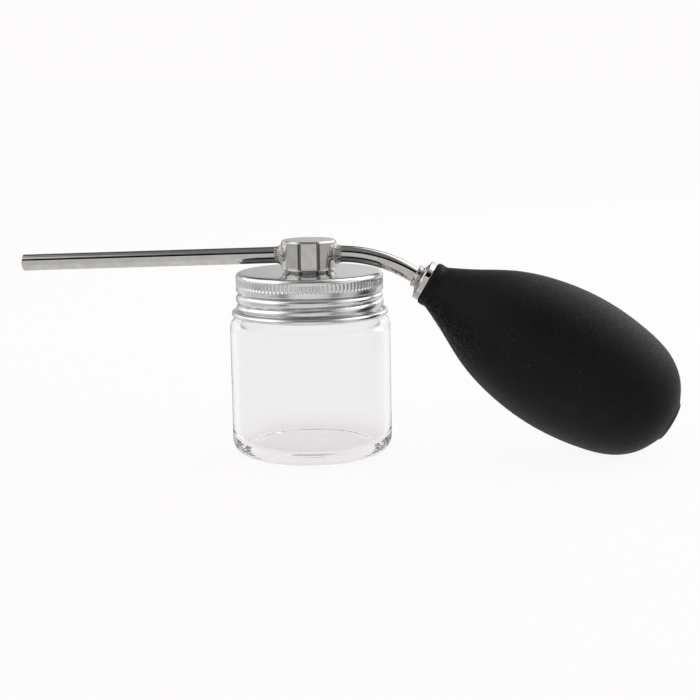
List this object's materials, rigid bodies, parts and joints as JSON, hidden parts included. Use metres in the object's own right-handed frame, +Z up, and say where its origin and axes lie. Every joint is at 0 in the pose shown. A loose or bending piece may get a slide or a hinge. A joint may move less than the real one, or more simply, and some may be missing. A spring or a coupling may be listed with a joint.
{
  "type": "squeeze-bulb powder sprayer",
  "caption": "Hand powder sprayer: clear glass jar, screwed metal cap with a hub, a straight nozzle tube and a black rubber squeeze bulb with ball valves.",
  "frame": {"origin": "centre of the jar's base, on the surface it stands on", "axes": "+Z up along the jar, +X towards the squeeze bulb, -X towards the nozzle tip"},
  "size_m": [0.1933, 0.047, 0.0627],
  "materials": {
    "glass": "clear, polished",
    "liner_foam": "white closed-cell foam",
    "cap_metal": "satin spun sheet",
    "chrome": "polished plate",
    "seal_rubber": "matte",
    "zinc_steel": "zinc plated",
    "brass": "turned",
    "steel_ball": "polished",
    "steel_mesh": "woven wire",
    "black_plastic": "fine satin",
    "black_rubber": "matte moulded"
  },
  "bodies": {
    "jar": {"jar": "glass"},
    "liner": {"cap_liner": "liner_foam"},
    "cap": {"screw_cap": "cap_metal", "hub_body": "chrome", "hub_gasket": "seal_rubber", "hub_washer": "zinc_steel", "hub_nut": "zinc_steel", "nozzle_tube": "chrome", "nozzle_braze": "chrome", "bulb_tube": "chrome", "bulb_tube_braze": "chrome", "connector_body": "chrome", "outlet_seat": "brass", "outlet_pin": "brass", "rubber_bulb": "black_rubber"},
    "outlet_ball": {"outlet_ball": "steel_ball"},
    "intake_valve": {"intake_body": "black_plastic", "intake_pin": "brass", "intake_screen": "steel_mesh"},
    "intake_ball": {"intake_ball": "steel_ball"}
  },
  "joints": [
    {"name": "cap_lift", "type": "slide", "parent": "jar", "child": "liner", "axis": [0, 0, 1], "range_m": [0, 0.01125]},
    {"name": "cap_turn", "type": "hinge", "parent": "liner", "child": "cap", "pos_m": [0, 0, 0.0534], "axis": [0, 0, 1], "range_deg": [0, 1350]},
    {"name": "outlet_ball_lift", "type": "slide", "parent": "cap", "child": "outlet_ball", "axis": [-0.8643, 0, 0.503], "range_m": [0, 0.0008]},
    {"name": "bulb_squeeze", "type": "slide", "parent": "cap", "child": "intake_valve", "axis": [-0.8643, 0, 0.503], "range_m": [0, 0.024], "stiffness_N_per_m": 600, "deforming": ["rubber_bulb"]},
    {"name": "intake_ball_lift", "type": "slide", "parent": "intake_valve", "child": "intake_ball", "axis": [-0.8643, 0, 0.503], "range_m": [0, 0.0008]}
  ],
  "couplings": [
    {"joint": "cap_lift", "follows": "cap_turn", "m_per_rad": 0.00047746}
  ]
}
